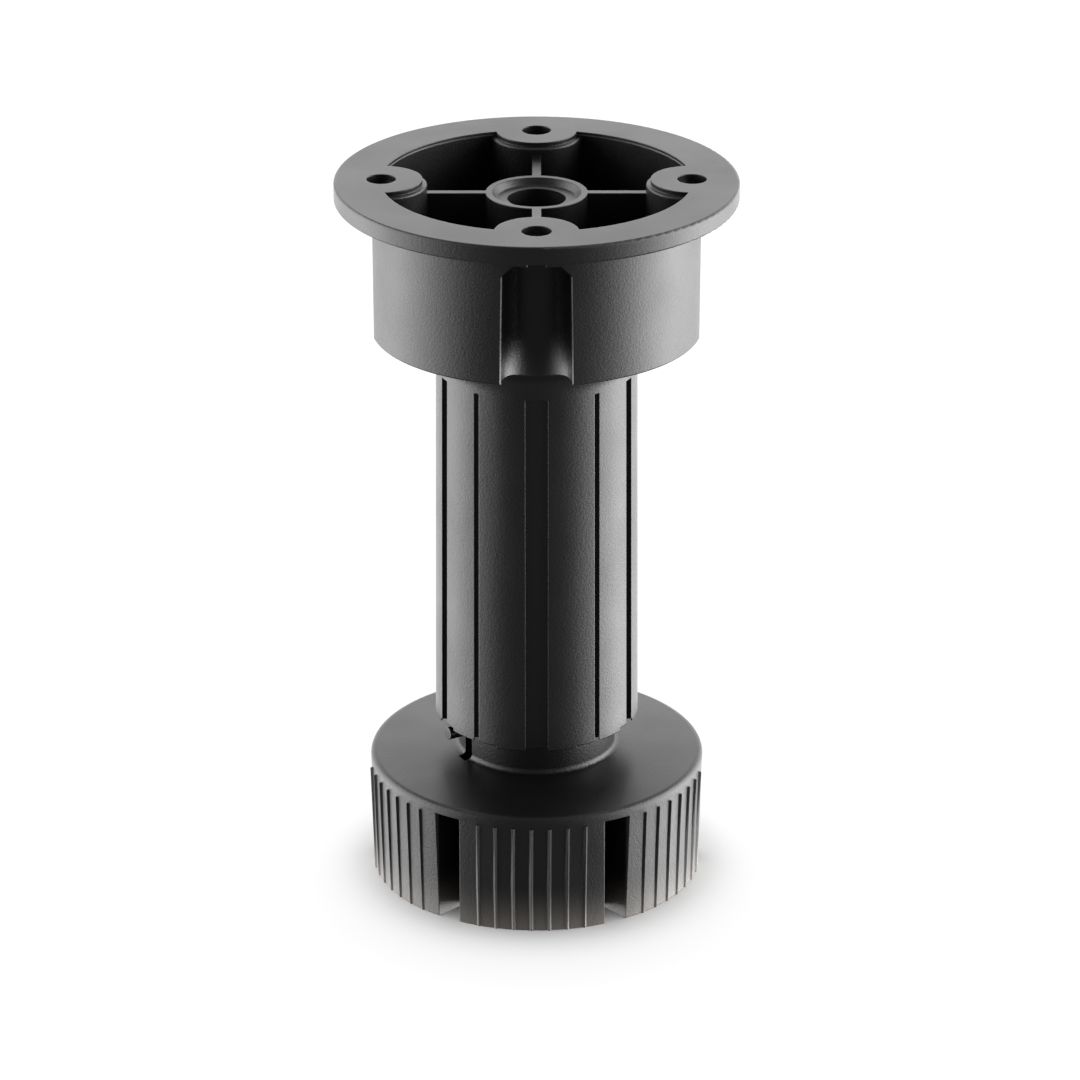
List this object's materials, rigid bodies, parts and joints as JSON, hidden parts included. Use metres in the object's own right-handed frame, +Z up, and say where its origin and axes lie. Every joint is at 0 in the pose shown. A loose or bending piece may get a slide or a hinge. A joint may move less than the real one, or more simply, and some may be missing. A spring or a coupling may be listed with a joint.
{
  "type": "adjustable cabinet leg",
  "caption": "Moulded cabinet leg: round screw-down flange over a scooped cup-shaped drum, a fluted sleeve, and a grip-rimmed foot that screws up into it.",
  "frame": {"origin": "centre of the foot's underside, on the floor, on the common axis of leg and foot", "axes": "+Z up along the leg, -Y the front, through the screw hole that faces the viewer"},
  "size_m": [0.068, 0.068, 0.1266],
  "materials": {
    "leg_plastic": "black moulding, fine grain on the sides, smoother face",
    "foot_plastic": "black moulding, fine grain"
  },
  "bodies": {
    "foot": {"levelling_foot": "foot_plastic"},
    "leg": {"leg_body": "leg_plastic"}
  },
  "joints": [
    {"name": "height_adjust", "type": "slide", "parent": "foot", "child": "leg", "axis": [0, 0, 1], "range_m": [0, 0.025]}
  ]
}
